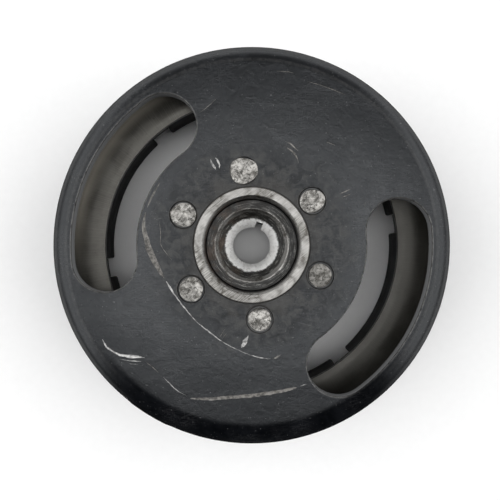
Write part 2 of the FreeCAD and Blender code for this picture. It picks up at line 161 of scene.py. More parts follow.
def smooth_line(points, spacing):
    """Gives points about spacing mm apart on a smooth line through the given ones."""
    ends = [points[0]] + list(points) + [points[-1]]
    line = []
    for before, start, end, after in zip(ends, ends[1:], ends[2:], ends[3:]):
        before, start, end, after = (Vector(point) for point in (before, start, end, after))
        count = max(1, round((end - start).length / spacing))
        for step in range(count):
            t = step / count
            line.append(
                start
                + (end - before) * (t / 2)
                + (2 * before - 5 * start + 4 * end - after) * (t * t / 2)
                + (3 * start - before - 3 * end + after) * (t * t * t / 2)
            )
    return line + [Vector(points[-1])]


SCRATCH_SPACING = 0.9
SCRATCH_WANDER = 0.05


def cut_scratch(bm, draws, points, depth, ragged):
    """Opens a narrow V in the face along (x, y, width) points, in mm, its width uneven by a share ragged."""
    line = smooth_line(points, SCRATCH_SPACING)
    last = len(line) - 1
    wander = [
        Vector((draws.uniform(-1, 1), draws.uniform(-1, 1))) * SCRATCH_WANDER + point.xy for point in line
    ]
    chain = [bm.verts.new((spot.x * MM, spot.y * MM, (FACE_HEIGHT - depth) * MM)) for spot in wander]
    bottom = [bm.edges.new(pair) for pair in zip(chain, chain[1:])]
    tips = [chain[0], chain[-1]]
    for side in (-1, 1):
        made = bmesh.ops.extrude_edge_only(bm, edges=bottom)["geom"]
        for corner in [item for item in made if isinstance(item, bmesh.types.BMVert)]:
            place = min(range(last + 1), key=lambda spot: (chain[spot].co - corner.co).length)
            along = wander[min(place + 1, last)] - wander[max(place - 1, 0)]
            across = Vector((-along.y, along.x)).normalized() * side
            taper = min(1.0, 0.35 + place / 4, 0.35 + (last - place) / 4) if 0 < place < last else 0.0
            uneven = draws.uniform(1 - ragged, 1 + ragged * 0.6)
            side_spot = wander[place] + across * line[place].z / 2 * taper * uneven
            corner.co = Vector((side_spot.x, side_spot.y, FACE_HEIGHT)) * MM
            if place in (0, last):
                tips.append(corner)
    for tip in tips:
        tip.co.z = FACE_HEIGHT * MM
    bmesh.ops.remove_doubles(bm, verts=tips, dist=0.001 * MM)


def close_flat(bm, height, spacing=0.0, wave=0.0):
    """Fills the flat surface between all open loops at a height, in mm. Where corners about spacing mm apart
    are wanted inside it, they rise and fall by about wave mm. The fill operators fail on loops this close to
    each other, so a constrained triangulation stands in, and its faces within the loops are taken out."""
    rims = [
        edge for edge in bm.edges
        if edge.is_boundary and all(abs(vert.co.z - height * MM) < SAME_PLACE for vert in edge.verts)
    ]
    corners = list(dict.fromkeys(vert for edge in rims for vert in edge.verts))
    outermost = max(corners, key=lambda vert: vert.co.xy.length)
    number = {vert: index for index, vert in enumerate(corners)}
    loops = [(number[edge.verts[0]], number[edge.verts[1]]) for edge in rims]
    near = kdtree.KDTree(len(corners))
    for index, vert in enumerate(corners):
        near.insert(vert.co, index)
    near.balance()
    if spacing:
        reach = math.ceil(SHELL_RADIUS / spacing)
        for row in range(-reach, reach + 1):
            for column in range(-reach, reach + 1):
                spot = Vector(((column + row % 2 / 2) * spacing, row * spacing * 0.87, height)) * MM
                if near.find(spot)[2] > spacing * 0.6 * MM and spot.xy.length < outermost.co.xy.length:
                    spot.z += wave * noise.noise(spot * 90) * MM
                    corners.append(bm.verts.new(spot))
    filled = geometry.delaunay_2d_cdt([vert.co.xy for vert in corners], loops, [], 1, 1e-9)
    spot_of = [corners[sources[0]] for sources in filled[3]]
    made = [bm.faces.new([spot_of[index] for index in triangle]) for triangle in filled[2]]
    borders, laid, kept = set(rims), set(made), set()
    waiting = [face for face in outermost.link_faces if face in laid]
    while waiting:
        face = waiting.pop()
        if face not in kept:
            kept.add(face)
            face.smooth = bool(spacing)
            waiting += [other for edge in face.edges if edge not in borders for other in edge.link_faces]
    bmesh.ops.delete(bm, geom=[face for face in made if face not in kept], context="FACES")
    bmesh.ops.delete(bm, geom=[vert for vert in bm.verts if not vert.link_faces], context="VERTS")


def crease(bm, angle):
    """Keeps edges sharp that turn by more than an angle in degrees or part two finishes."""
    for edge in bm.edges:
        one_finish = len({face.material_index for face in edge.link_faces}) == 1
        edge.smooth = one_finish and edge.calc_face_angle(0.0) < math.radians(angle)


def make_piece(bm, name, *finishes):
    """Turns a finished bmesh into an object in the scene, with its finishes in its material slots."""
    if bm.calc_volume(signed=True) < 0:
        bmesh.ops.reverse_faces(bm, faces=bm.faces[:])
    mesh = bpy.data.meshes.new(name)
    bm.to_mesh(mesh)
    bm.free()
    for finish in finishes:
        mesh.materials.append(finish)
    piece = bpy.data.objects.new(name, mesh)
    bpy.context.scene.collection.objects.link(piece)
    return piece


def put(tree, kind, sockets, **settings):
    """Adds a node, with its settings, and fills or joins its sockets."""
    made = tree.nodes.new(kind)
    for setting, value in settings.items():
        setattr(made, setting, value)
    for name, value in sockets.items():
        if isinstance(value, bpy.types.NodeSocket):
            tree.links.new(value, made.inputs[name])
        else:
            made.inputs[name].default_value = value
    return made


def start_finish(name):
    """Starts a material and gives it, its tree, its shader and its object coordinates."""
    finish = bpy.data.materials.new(name)
    finish.use_nodes = True
    tree = finish.node_tree
    shader = tree.nodes["Principled BSDF"]
    place = put(tree, "ShaderNodeTexCoord", {}).outputs["Object"]
    return finish, tree, shader, place


def clouds(tree, place, size, detail=4, roughness=0.5, distortion=0.0):
    """Gives noise from 0 to 1 with patches about size mm across."""
    sockets = {"Vector": place, "Scale": 1 / (size * MM), "Detail": detail}
    sockets |= {"Roughness": roughness, "Distortion": distortion}
    return put(tree, "ShaderNodeTexNoise", sockets).outputs["Fac"]


def span(tree, value, start, end, low=0.0, high=1.0):
    """Gives a value's smooth way from start to end, as a number from low to high."""
    sockets = {"Value": value, "From Min": start, "From Max": end, "To Min": low, "To Max": high}
    return put(tree, "ShaderNodeMapRange", sockets, interpolation_type="SMOOTHSTEP").outputs["Result"]


def sums(tree, operation, first, *others):
    """Gives the outcome of a sum on two or more numbers in turn, kept from 0 to 1."""
    for number in others:
        sockets = {0: first, 1: number}
        first = put(tree, "ShaderNodeMath", sockets, operation=operation, use_clamp=True).outputs[0]
    return first


def both(tree, *shares):
    """Gives the product of two or more shares."""
    return sums(tree, "MULTIPLY", *shares)


def scaled(tree, value, factor, start=0.0):
    """Gives a value times a factor, added to a start, whatever its size."""
    sockets = {0: value, 1: factor, 2: start}
    return put(tree, "ShaderNodeMath", sockets, operation="MULTIPLY_ADD").outputs[0]


def curved(tree, operation, value):
    """Gives the sine, cosine or absolute size of a value."""
    return put(tree, "ShaderNodeMath", {0: value}, operation=operation).outputs[0]


def blend(tree, share, first, second):
    """Gives the number on the way from first to second."""
    return put(tree, "ShaderNodeMix", {0: share, 2: first, 3: second}, data_type="FLOAT").outputs[0]


def tint(tree, share, under, over):
    """Gives the under colour with a share of the over colour laid on it."""
    sockets = {0: share}
    for socket, colour in ((6, under), (7, over)):
        sockets[socket] = colour if isinstance(colour, bpy.types.NodeSocket) else (*colour, 1)
    return put(tree, "ShaderNodeMix", sockets, data_type="RGBA").outputs[2]


def stretched(tree, place, direction, length):
    """Gives coordinates on which a pattern is length times as long along a direction, in degrees."""
    sockets = {"Vector": place, "Rotation": (0, 0, -math.radians(direction))}
    turned = put(tree, "ShaderNodeMapping", sockets, vector_type="POINT").outputs["Vector"]
    sockets = {"Vector": turned, "Scale": (1 / length, 1, 1)}
    return put(tree, "ShaderNodeMapping", sockets, vector_type="POINT").outputs["Vector"]


def relief(tree, shader, height, distance, strength=1.0, under=None):
    """Puts a bump of a height pattern, distance mm deep, on a shader."""
    sockets = {"Height": height, "Distance": distance * MM, "Strength": strength}
    if under is not None:
        sockets["Normal"] = under
    bump = put(tree, "ShaderNodeBump", sockets).outputs["Normal"]
    tree.links.new(bump, shader.inputs["Normal"])
    return bump


def turned_coordinates(tree, place):
    """Gives the distance from the crank's axis, the turn about it and the height of each point."""
    axes = put(tree, "ShaderNodeSeparateXYZ", {"Vector": place}).outputs
    flat = put(tree, "ShaderNodeCombineXYZ", {"X": axes["X"], "Y": axes["Y"]}).outputs[0]
    radius = put(tree, "ShaderNodeVectorMath", {0: flat}, operation="LENGTH").outputs["Value"]
    turn = put(tree, "ShaderNodeMath", {0: axes["Y"], 1: axes["X"]}, operation="ARCTAN2").outputs[0]
    return radius, turn, axes["Z"]


OXIDE_DARK, OXIDE_LIGHT = (0.0018, 0.0021, 0.0027), (0.0046, 0.0051, 0.0062)
HANDLED_GREY, OIL_BLACK = (0.022, 0.021, 0.0185), (0.004, 0.004, 0.0035)
GRIME_BROWN = (0.020, 0.017, 0.013)
SPECK_GREY, HAIRLINE_GREY = (0.10, 0.10, 0.10), (0.09, 0.09, 0.095)
SLOT_WALL_PAINTED_LIGHT, RUBBED_STEEL = (0.20, 0.203, 0.207), (0.13, 0.128, 0.124)
HAIRLINES = ((24, 0.2, 0.62), (0, 0.14, 0.60), (97, 0.2, 0.64), (166, 0.18, 0.62))
SATIN_TINT = (0.93, 0.965, 1.0, 1)


def slate_oxide():
    """Satin slate oxide: mottled by oil, finely speckled, with hairlines, and steel at its rubbed edges. The
    rounded corner has more sheen than the face, but a dark reflection is painted on its -Y side, which is
    black and dull there. Painted light turns the walls of the slots and holes and the plate's underside light
    grey."""
    finish, tree, shader, place = start_finish("slate_oxide")
    radius, turn, height = turned_coordinates(tree, place)
    mottle = clouds(tree, place, 5.5, 8, 0.62, 0.6)
    stains = clouds(tree, place, 2.6, 5, 0.6, 0.8)
    grain = clouds(tree, place, 0.42, 3, 0.7)
    specks = clouds(tree, place, 0.7, 2, 0.6)
    uneven = scaled(tree, mottle, 20 * MM, radius)

    colour = tint(tree, span(tree, mottle, 0.36, 0.66), OXIDE_DARK, OXIDE_LIGHT)
    handled = span(tree, uneven, 42 * MM, 33 * MM)
    worn_grey = both(tree, handled, span(tree, stains, 0.40, 0.70))
    colour = tint(tree, worn_grey, colour, HANDLED_GREY)
    oily = both(tree, handled, span(tree, stains, 0.42, 0.34), 0.6)
    colour = tint(tree, oily, colour, OIL_BLACK)
    grime = both(tree, span(tree, uneven, 31.5 * MM, 26 * MM), 0.75)
    colour = tint(tree, grime, colour, GRIME_BROWN)
    colour = tint(tree, span(tree, specks, 0.66, 0.76, 0, 0.6), colour, SPECK_GREY)

    rubs = []
    for direction, size, start in HAIRLINES:
        lines = clouds(tree, stretched(tree, place, direction, 70), size, 1, 0.3)
        rubs.append(span(tree, lines, start, start + 0.06))
    hairlines = sums(tree, "MAXIMUM", *rubs)
    patches = span(tree, clouds(tree, place, 17, 3), 0.45, 0.62)
    colour = tint(tree, both(tree, hairlines, patches, 0.16), colour, HAIRLINE_GREY)

    # Painted light: the walls of the slots and holes and the plate's underside are tinted light grey,
    # standing in for light falling on the slot walls.
    below_face = span(tree, height, 39.7 * MM, 39.3 * MM)
    in_slot = both(tree, below_face, span(tree, radius, 50.9 * MM, 50.6 * MM))
    colour = tint(tree, both(tree, in_slot, 0.85), colour, SLOT_WALL_PAINTED_LIGHT)
    # Painted dark reflection: on the corner's -Y side the sheen and the rubbed steel fade out, leaving it
    # black and dull.
    dark_reflection_side = span(tree, curved(tree, "SINE", turn), -0.40, -0.85)
    painted_dark_reflection = both(tree, dark_reflection_side, span(tree, radius, 48.6 * MM, 50.9 * MM, 0, 0.95))
    beyond_painted_dark_reflection = span(tree, painted_dark_reflection, 0, 1, 1, 0)
    rubbed = put(tree, "ShaderNodeAttribute", {}, attribute_name="edge_wear").outputs["Fac"]
    ragged = span(tree, clouds(tree, place, 1.6, 6, 0.7), 0.30, 0.60)
    rubbed = both(tree, rubbed, ragged, beyond_painted_dark_reflection)
    tree.links.new(tint(tree, rubbed, colour, RUBBED_STEEL), shader.inputs["Base Color"])
    tree.links.new(both(tree, rubbed, 0.5), shader.inputs["Metallic"])

    on_face = span(tree, height, 37.2 * MM, 39.2 * MM)
    roughness = span(tree, mottle, 0.25, 0.75, 0.19, 0.29)
    handled_rough = both(tree, handled, 0.10)
    slot_rough = both(tree, in_slot, 0.2)
    roughness = sums(tree, "ADD", roughness, handled_rough, slot_rough, span(tree, on_face, 1, 0, 0, 0.2))
    tree.links.new(roughness, shader.inputs["Roughness"])

    satin = span(tree, uneven, 40 * MM, 62 * MM, 0.26, 0.215)
    grainy = span(tree, grain, 0.3, 0.7, 0.86, 1.14)
    patchy = blend(tree, handled, 1.0, span(tree, stains, 0.30, 0.60, 0.78, 1.08))
    corner_sheen = span(tree, radius, 50.8 * MM, 51.9 * MM, 1, 2.0)
    satin = both(tree, satin, grainy, patchy, corner_sheen)
    wall_sheen = span(tree, height, 35 * MM, 33 * MM, 0.03, 0.25)
    sheen = sums(tree, "MAXIMUM", both(tree, on_face, satin), wall_sheen)
    sheen = both(tree, sheen, beyond_painted_dark_reflection)
    shader.inputs["Specular IOR Level"].default_value = 0.24
    tree.links.new(sheen, shader.inputs["Specular IOR Level"])
    shader.inputs["Specular Tint"].default_value = SATIN_TINT
    waves = relief(tree, shader, stains, 0.05)
    relief(tree, shader, grain, 0.012, 0.8, under=waves)
    return finish


def bare_scrape(name, dull, bright):
    """The bottom of a scratch or scuff, bright in places and dull in others."""
    finish, tree, shader, place = start_finish(name)
    shine = span(tree, clouds(tree, place, 0.9, 5, 0.7), 0.36, 0.62)
    tree.links.new(tint(tree, shine, dull, bright), shader.inputs["Base Color"])
    shader.inputs["Metallic"].default_value = 0.2
    tree.links.new(span(tree, shine, 0, 1, 0.65, 0.4), shader.inputs["Roughness"])
    relief(tree, shader, clouds(tree, place, 0.3, 2), 0.02)
    return finish


SCRATCHES = (
    ((-23.8, -9.9, 0.5), (-19.9, -15.8, 0.35), (-15.5, -21.0, 0.26), (-11.6, -24.2, 0.34), (-8.0, -26.9, 0.2),
     (-3.6, -29.2, 0.18), (-0.5, -30.5, 0.22), (3.2, -31.4, 0.3), (5.4, -31.6, 0.3)),
    ((-41.4, -26.1, 0.45), (-40.6, -27.8, 0.5), (-38.9, -29.4, 0.45), (-36.6, -30.4, 0.6),
     (-34.4, -30.8, 0.9), (-31.6, -31.0, 0.9), (-29.6, -31.3, 0.3)),
    ((-36.8, -31.6, 0.1), (-34.8, -32.0, 0.24), (-32.8, -32.1, 0.34), (-30.4, -32.4, 0.1)),
    ((-34.4, -32.9, 0.08), (-33.1, -33.0, 0.16), (-31.4, -33.1, 0.08)),
    ((-24.7, -36.4, 0.12), (-21.6, -39.6, 0.3), (-20.2, -40.7, 0.2), (-18.0, -41.9, 0.16)),
    ((-0.9, -24.9, 0.3), (-1.5, -26.2, 0.9), (-2.1, -27.4, 1.9), (-2.9, -28.5, 0.6)),
    ((-11.4, 24.0, 0.4), (-11.2, 23.0, 1.0), (-10.6, 22.0, 1.2), (-9.9, 21.0, 0.5)),
    ((-10.2, 24.3, 0.3), (-9.3, 23.4, 0.8), (-8.9, 22.2, 0.8), (-9.0, 21.2, 0.3)),
    ((13.4, -39.2, 0.2), (14.5, -38.8, 0.5), (15.3, -38.6, 0.2)),
)
SCUFFS = (
    ((-25.3, 17.6, 0.2), (-27.7, 13.4, 0.5), (-29.0, 10.4, 0.3)),
    ((-29.5, 9.2, 0.4), (-30.0, 5.2, 1.0), (-29.1, 1.2, 1.5), (-28.0, -2.2, 1.8), (-26.0, -6.3, 1.3),
     (-24.3, -9.1, 0.7)),
    ((-29.7, -32.2, 0.1), (-27.6, -33.8, 0.22), (-25.6, -35.6, 0.12)),
    ((5.9, -31.6, 0.5), (7.2, -31.0, 0.9), (8.1, -30.4, 0.5)),
    ((-17.2, -42.5, 0.4), (-12.4, -42.7, 0.8), (-8.0, -42.4, 0.9), (-0.5, -41.8, 1.0), (4.0, -41.2, 1.0),
     (8.4, -40.5, 0.9), (12.6, -39.5, 0.8)),
    ((9.2, 28.8, 0.15), (10.8, 28.1, 0.4), (12.1, 26.9, 0.3), (13.2, 26.0, 0.15)),
    ((9.6, 27.2, 0.15), (11.0, 26.2, 0.5), (12.3, 24.9, 0.4), (13.0, 22.6, 0.15)),
    ((24.4, 14.2, 0.15), (25.9, 14.9, 0.4), (27.6, 15.6, 0.15)),
    ((25.0, 13.2, 0.15), (26.3, 13.7, 0.35), (27.6, 14.3, 0.15)),
    ((-14.6, 36.7, 0.12), (-12.0, 38.6, 0.2), (-9.6, 40.9, 0.12)),
    ((15.1, 45.6, 0.12), (20.4, 44.0, 0.2), (26.2, 41.7, 0.14)),
    ((6.5, 48.3, 0.12), (10.1, 48.1, 0.2), (12.0, 47.7, 0.12)),
    ((20.6, 28.7, 0.15), (22.0, 28.2, 0.25), (23.4, 27.5, 0.15)),
    ((-25.6, 6.8, 0.12), (-25.3, 3.4, 0.2), (-25.2, 0.2, 0.15), (-23.6, -2.4, 0.15), (-22.1, -4.1, 0.1)),
    ((31.6, 12.2, 0.12), (31.4, 10.4, 0.2)),
    ((-8.9, -25.6, 0.1), (-8.1, -24.3, 0.3), (-7.4, -23.2, 0.1)),
    ((-8.2, -26.0, 0.1), (-7.4, -24.9, 0.25), (-6.8, -24.2, 0.1)),
)
SCRATCH_DEPTH = 0.07
SCRATCH_RAGGED, SCUFF_RAGGED = 0.45, 0.15

bm = bmesh.new()
bm.verts.layers.float.new("edge_wear")
circle_outline(bm, Vector((0, 0, 0)), SHELL_RADIUS - CORNER_WIDTH - FLAT_MARGIN, SHELL_STEPS)
corner = [
    (
        SHELL_RADIUS - CORNER_WIDTH * (1 - math.sin(turn)),
        FACE_HEIGHT - CORNER_HEIGHT * (1 - math.cos(turn)),
        SHOULDER_WEAR if 0 < turn < SHOULDER_TURN else 0.0,
    )
    for turn in (step / CORNER_STEPS * math.pi / 2 for step in range(CORNER_STEPS + 1))
]
wall = [(SHELL_RADIUS, PAD_TOP, 0.0), (SHELL_RADIUS, PAD_BOTTOM, 0.0), (SHELL_RADIUS, WALL_FOOT, 0.0)]
rim = [
    (SHELL_RADIUS, RIM_CHAMFER, 1.0),
    (SHELL_RADIUS - RIM_CHAMFER, 0.0, 1.0),
    (WALL_RADIUS + RIM_CHAMFER, 0.0, 1.0),
    (WALL_RADIUS, RIM_CHAMFER, 1.0),
    (WALL_RADIUS, 1.5, 0.0),
    (WALL_RADIUS, PLATE_UNDERSIDE, 0.0),
]
run_wall(bm, (0.0, 0.0, 0.0), corner + wall + rim)

pad_faces = []
for face in bm.faces:
    middle = face.calc_center_median()
    on_wall = math.hypot(middle.x, middle.y) > (SHELL_RADIUS - 1.0) * MM
    in_height = PAD_BOTTOM * MM < middle.z < PAD_TOP * MM
    if on_wall and in_height and PAD_START < math.atan2(middle.y, middle.x) % math.tau < PAD_END:
        pad_faces.append(face)
raised = bmesh.ops.extrude_face_region(bm, geom=pad_faces)["geom"]
bmesh.ops.delete(bm, geom=pad_faces, context="FACES")
pad_faces = [item for item in raised if isinstance(item, bmesh.types.BMFace)]
for vert in {vert for face in pad_faces for vert in face.verts}:
    outward = (vert.co * Vector((1, 1, 0))).normalized()
    vert.co += outward * PAD_RISE * MM
pad_rim = [edge for edge in bm.edges if sum(face in pad_faces for face in edge.link_faces) == 1]
bmesh.ops.bevel(bm, geom=pad_rim, offset=PAD_EDGE * MM, segments=3, profile=0.5, affect="EDGES", material=-1)

for direction in SLOT_DIRECTIONS:
    spine = (SLOT_SPINE, direction, SLOT_HALF_ANGLE)
    slot_outline(bm, direction, SLOT_HALF_WIDTH + SLOT_TOP_EDGE + FLAT_MARGIN)
    walls = rounded(SLOT_HALF_WIDTH, FACE_HEIGHT, SLOT_TOP_EDGE, 5)
    walls += [(SLOT_HALF_WIDTH, FACE_HEIGHT - 1.0, 0.0)]
    walls += rounded(SLOT_HALF_WIDTH, PLATE_UNDERSIDE, SLOT_BOTTOM_EDGE, 3, rising=True)
    run_wall(bm, spine, walls)
for name in RIVET_NAMES:
    circle_radius, direction = middle_of(name)
    circle_outline(bm, polar(circle_radius, direction), COUNTERSINK_RADIUS + 0.3, COUNTERSINK_STEPS)
    walls = rounded(COUNTERSINK_RADIUS, FACE_HEIGHT, 0.16, 3)
    walls += [
        (COUNTERSINK_RADIUS - 0.1, FACE_HEIGHT - 0.3, 0.0),
        (SHANK_HOLE_RADIUS, FACE_HEIGHT - COUNTERSINK_DEPTH, 0.0),
        (SHANK_HOLE_RADIUS, PLATE_UNDERSIDE, 0.0),
    ]
    run_wall(bm, (circle_radius, direction, 0.0), walls)
circle_outline(bm, Vector((0, 0, 0)), HUB_HOLE_RADIUS + HUB_HOLE_EDGE + FLAT_MARGIN, HUB_HOLE_STEPS)
walls = rounded(HUB_HOLE_RADIUS, FACE_HEIGHT, HUB_HOLE_EDGE, 3)
run_wall(bm, (0.0, 0.0, 0.0), walls + [(HUB_HOLE_RADIUS, PLATE_UNDERSIDE, 0.0)])

scratch_draws = random.Random(7)
for number, ragged, lines in ((1, SCRATCH_RAGGED, SCRATCHES), (2, SCUFF_RAGGED, SCUFFS)):
    uncut_faces = set(bm.faces)
    for points in lines:
        cut_scratch(bm, scratch_draws, points, SCRATCH_DEPTH / number, ragged)
    for face in bm.faces:
        if face not in uncut_faces:
            face.material_index = number
for face in bm.faces:
    face.smooth = True
close_flat(bm, FACE_HEIGHT, FACE_SPACING, FACE_WAVE)
close_flat(bm, PLATE_UNDERSIDE)
bmesh.ops.remove_doubles(bm, verts=bm.verts[:], dist=MERGE_REACH * MM)
bmesh.ops.recalc_face_normals(bm, faces=bm.faces[:])
crease(bm, 35)
scraped = bare_scrape("scraped_steel", (0.12, 0.12, 0.12), (0.48, 0.475, 0.465))
scuffed = bare_scrape("scuffed_oxide", (0.036, 0.034, 0.031), (0.155, 0.147, 0.135))
shell = make_piece(bm, "cup", slate_oxide(), scraped, scuffed)
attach(shell, "root")
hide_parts("rotor_shell")

# ---- Hub ---------------------------------------------------------------------------------------------------
# The turned steel hub: a ring that stands through the cup's face, a recess, a bore with a 1 in 5 taper and a
# keyway, a flange that takes the rivets, and a boss with the puller's thread. Its ring and taper are bright,
# and its recess is dark with grease and a little rust. Painted shade darkens the ring's outer edge and
# blackens the recess's inner corner and the keyway.

HUB_STEPS = 192
RING_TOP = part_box("hub")[1].z / MM
BOSS_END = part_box("hub")[0].z / MM
FLANGE_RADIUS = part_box("hub")[1].x / MM
FLANGE_UNDERSIDE = PLATE_UNDERSIDE - 5.0
RING_RADIUS = 16.0
BOSS_RADIUS = 15.8
MOUTH_CHAMFER = 0.7
RECESS_RADIUS = 13.0
RECESS_FLOOR = 36.5
STEP_TOP_RADIUS, STEP_FOOT_RADIUS = 10.2, 9.4
STEP_FOOT = 35.5
TAPER_TOP, NUT_SEAT = 34.5, 13.5
TAPER_WIDE, TAPER_NARROW = 7.73, 5.63
TAPER_LEAN = (TAPER_WIDE - TAPER_NARROW) / (TAPER_TOP - NUT_SEAT)
BOSS_CHAMFER = 0.8
THREAD_RADIUS, THREAD_ROOT = 12.96, 13.5
THREAD_PITCH = 1.0
THREAD_STEPS = 96
ROOT_FLAT, CREST_FLAT = 0.125, 0.25
THREAD_RELIEF = 13.7
THREAD_START, THREAD_END = BOSS_END + 0.3, NUT_SEAT - 1.0
KEYWAY_DIRECTION = math.radians(70.2)
KEYWAY_WIDTH, KEYWAY_REACH = 2.0, 7.1


def sweep(bm, section, angle, steps, **more):
    """Turns a section about the crank's axis and leaves a surface behind it."""
    return bmesh.ops.spin(
        bm, geom=section, cent=(0, 0, 0), axis=(0, 0, 1), angle=angle, steps=steps, **more
    )


def turn_outline(bm, outline, steps, closed=True):
    """Turns an outline of (radius, height) points, in mm, once round the crank's axis."""
    corners = [bm.verts.new((radius * MM, 0, height * MM)) for radius, height in outline]
    edges = [bm.edges.new(pair) for pair in zip(corners, corners[1:] + corners[:closed])]
    sweep(bm, corners + edges, math.tau, steps, use_merge=True)
    bmesh.ops.recalc_face_normals(bm, faces=bm.faces[:])


def break_edges(bm, size, segments=3, angle=28):
    """Rounds every edge that turns by more than an angle in degrees."""
    sharp = [edge for edge in bm.edges if edge.calc_face_angle(0.0) > math.radians(angle)]
    bmesh.ops.bevel(
        bm, geom=sharp, offset=size * MM, segments=segments, profile=0.5, affect="EDGES", material=-1,
        clamp_overlap=True,
    )
    for face in bm.faces:
        face.smooth = True


def cut_thread(bm, low, high):
    """Makes a left-hand thread's surface between two heights, in mm, with an open loop at each end."""
    flank = (THREAD_PITCH - ROOT_FLAT - CREST_FLAT) / 2
    tooth = [(THREAD_ROOT, 0), (THREAD_ROOT, ROOT_FLAT), (THREAD_RADIUS, ROOT_FLAT + flank)]
    tooth += [(THREAD_RADIUS, ROOT_FLAT + CREST_FLAT + flank), (THREAD_ROOT, THREAD_PITCH)]
    corners = [bm.verts.new((radius * MM, 0, (high + height) * MM)) for radius, height in tooth]
    edges = [bm.edges.new(pair) for pair in zip(corners, corners[1:])]
    turns = math.ceil(high - low) + 2
    drop = (0, 0, -THREAD_PITCH / THREAD_STEPS * MM)
    sweep(bm, corners + edges, math.tau * turns, THREAD_STEPS * turns, dvec=drop)
    bmesh.ops.remove_doubles(bm, verts=bm.verts[:], dist=0.002 * MM)
    for height, upward in ((low, -1), (high, 1)):
        bmesh.ops.bisect_plane(
            bm, geom=bm.verts[:] + bm.edges[:] + bm.faces[:], dist=SAME_PLACE / 10,
            plane_co=(0, 0, height * MM), plane_no=(0, 0, upward), clear_outer=True,
        )


def even_shading(piece):
    """Lets the large faces set the shading where they meet a narrow rounded edge."""
    weighted = piece.modifiers.new("even_shading", "WEIGHTED_NORMAL")
    weighted.keep_sharp = True


def round_marks(tree, turn, scale, detail, roughness):
    """Gives a pattern of marks that varies only round the crank's axis."""
    sockets = {"W": turn, "Scale": scale, "Detail": detail, "Roughness": roughness}
    return put(tree, "ShaderNodeTexNoise", sockets, noise_dimensions="1D").outputs["Fac"]


